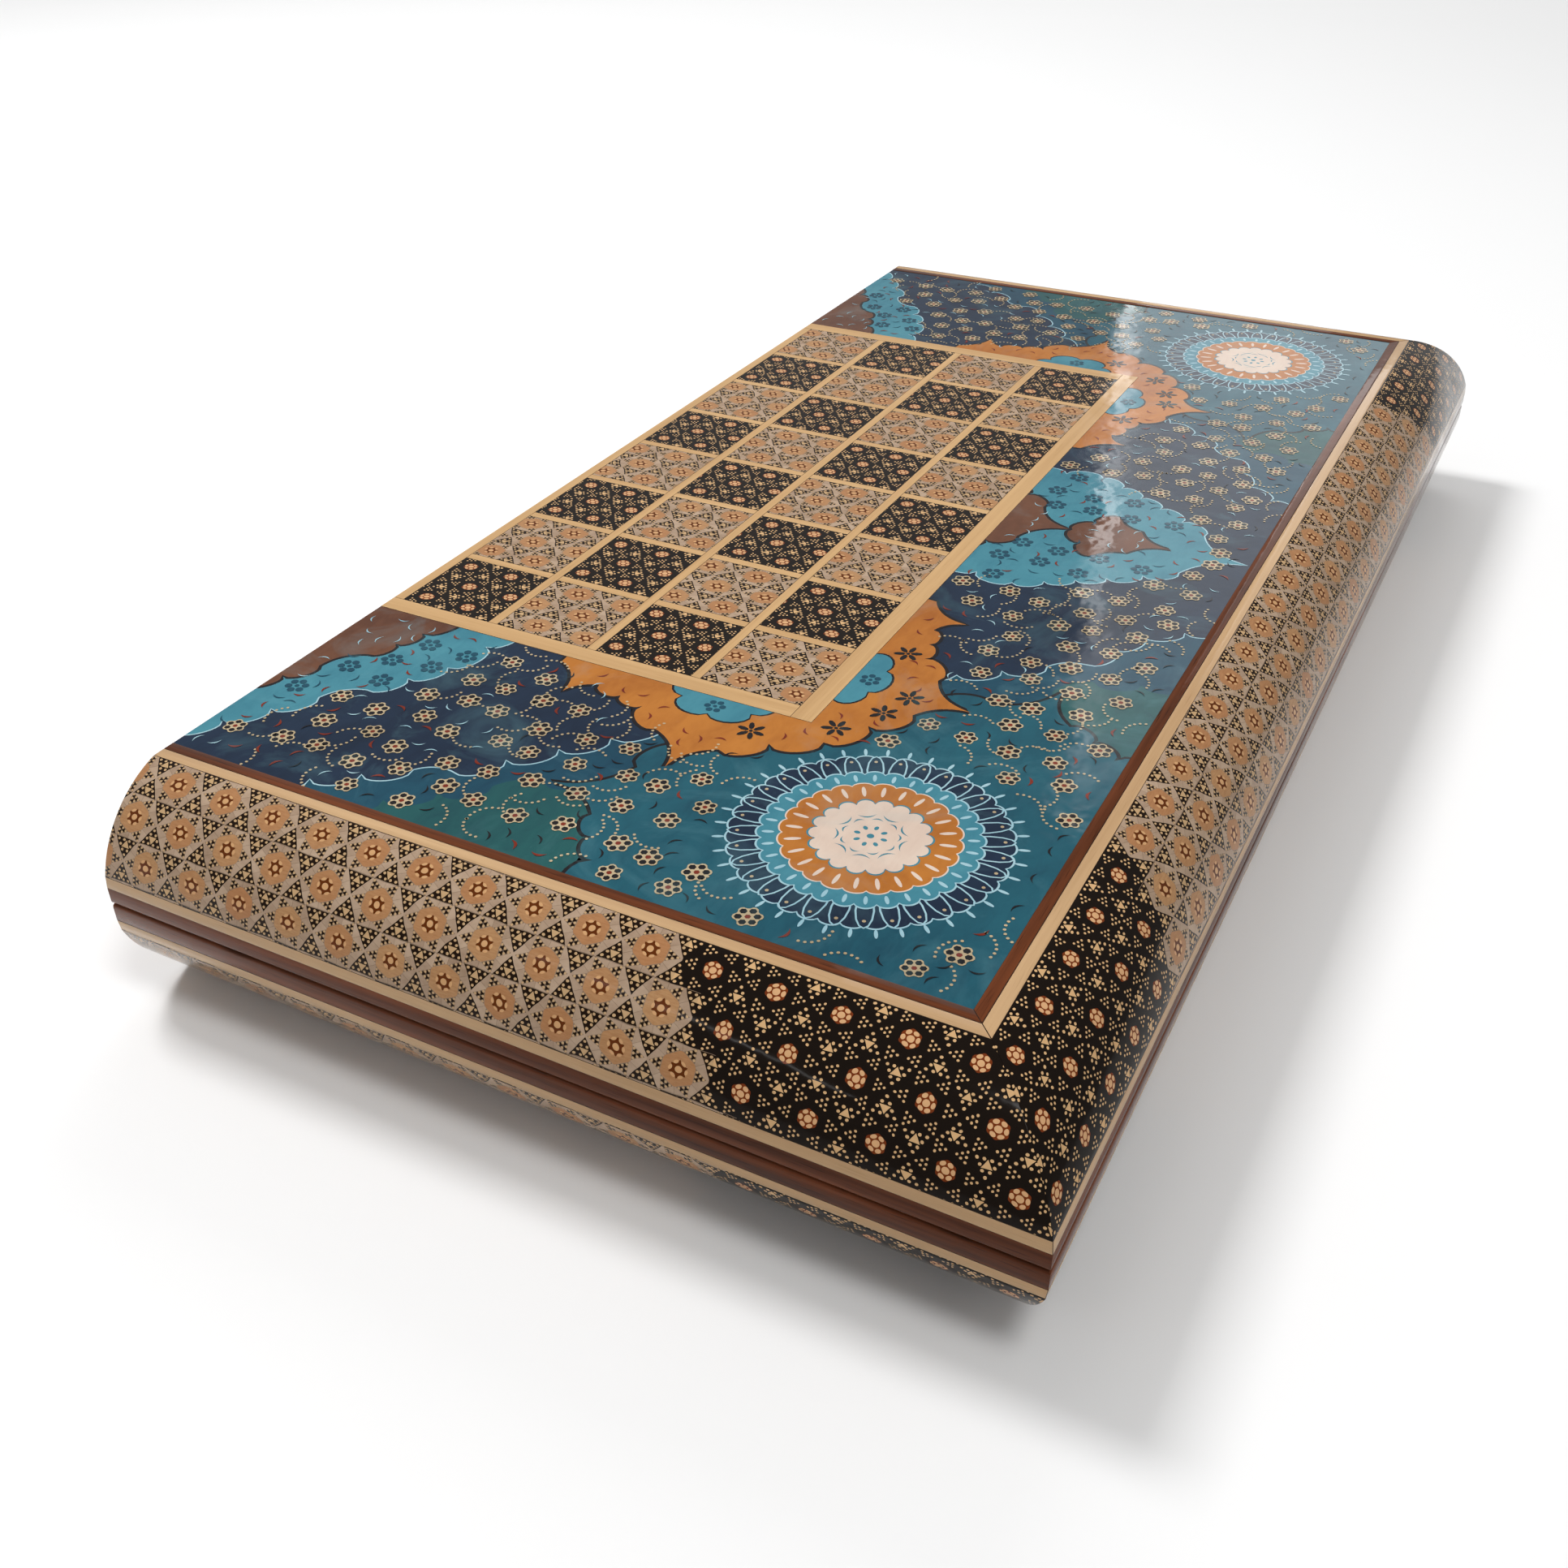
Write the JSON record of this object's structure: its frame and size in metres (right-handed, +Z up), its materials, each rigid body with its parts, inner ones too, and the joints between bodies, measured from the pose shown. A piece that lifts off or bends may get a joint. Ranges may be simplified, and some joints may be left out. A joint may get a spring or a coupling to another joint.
{
  "type": "folding chess and backgammon board",
  "caption": "Folding game box of two hinged inlaid trays: chess squares outside, backgammon points inside.",
  "frame": {"origin": "middle of the closed board's flat underside, not counting the hinge barrels", "axes": "+X from the hinge side to the free long side, +Y along the board's length from its front end to its back end, +Z up"},
  "size_m": [0.2502, 0.5, 0.062],
  "materials": {
    "khatam_light": "pale bone and orangewood inlay under clear gloss lacquer",
    "khatam_dark": "ebony, brass and bone inlay under clear gloss lacquer",
    "cream_wood": "plain pale stringing wood, lacquered",
    "rosewood": "straight-grained rosewood, lacquered",
    "painted": "hand-painted panel in blue and turquoise under high gloss lacquer",
    "core_wood": "stained hardwood, satin lacquer",
    "panel_wood": "plywood, bare",
    "field_wood": "stained walnut veneer, gloss lacquer",
    "brass": "drawn brass, light tarnish",
    "magnet_steel": "nickel plate"
  },
  "bodies": {
    "lower_tray": {"lower_front_moulding": "core_wood", "lower_back_moulding": "core_wood", "lower_side_moulding": "core_wood", "lower_hinge_rail": "core_wood", "lower_panel": "panel_wood", "lower_front_khatam": "khatam_light", "lower_back_khatam": "khatam_light", "lower_side_khatam": "khatam_light", "lower_front_corner_khatam": "khatam_dark", "lower_back_corner_khatam": "khatam_dark", "lower_cream_strip": "cream_wood", "lower_rosewood_strip": "rosewood", "lower_rim_cream_strip": "cream_wood", "lower_rim_rosewood_strip": "rosewood", "lower_rim_khatam": "khatam_light", "lower_rail_khatam": "khatam_dark", "lower_painted_field": "painted", "lower_grid_border": "cream_wood", "lower_grid_lines": "cream_wood", "lower_light_squares": "khatam_light", "lower_dark_squares": "khatam_dark", "lower_inner_field": "field_wood", "lower_inner_border": "khatam_light", "lower_light_points": "khatam_light", "lower_dark_points": "khatam_dark", "lower_hinge_leaves": "brass", "lower_hinge_screws": "brass", "lower_magnets": "magnet_steel", "hinge_pins": "brass"},
    "upper_tray": {"upper_front_moulding": "core_wood", "upper_back_moulding": "core_wood", "upper_side_moulding": "core_wood", "upper_hinge_rail": "core_wood", "upper_panel": "panel_wood", "upper_front_khatam": "khatam_light", "upper_back_khatam": "khatam_light", "upper_side_khatam": "khatam_light", "upper_front_corner_khatam": "khatam_dark", "upper_back_corner_khatam": "khatam_dark", "upper_cream_strip": "cream_wood", "upper_rosewood_strip": "rosewood", "upper_rim_cream_strip": "cream_wood", "upper_rim_rosewood_strip": "rosewood", "upper_rim_khatam": "khatam_light", "upper_rail_khatam": "khatam_dark", "upper_painted_field": "painted", "upper_grid_border": "cream_wood", "upper_grid_lines": "cream_wood", "upper_light_squares": "khatam_light", "upper_dark_squares": "khatam_dark", "upper_inner_field": "field_wood", "upper_inner_border": "khatam_light", "upper_light_points": "khatam_light", "upper_dark_points": "khatam_dark", "upper_hinge_leaves": "brass", "upper_hinge_screws": "brass", "upper_magnets": "magnet_steel"}
  },
  "joints": [
    {"name": "lid_hinge", "type": "hinge", "parent": "lower_tray", "child": "upper_tray", "pos_m": [-0.1242, 0, 0.031], "axis": [0, -1, 0], "range_deg": [0, 180]}
  ]
}
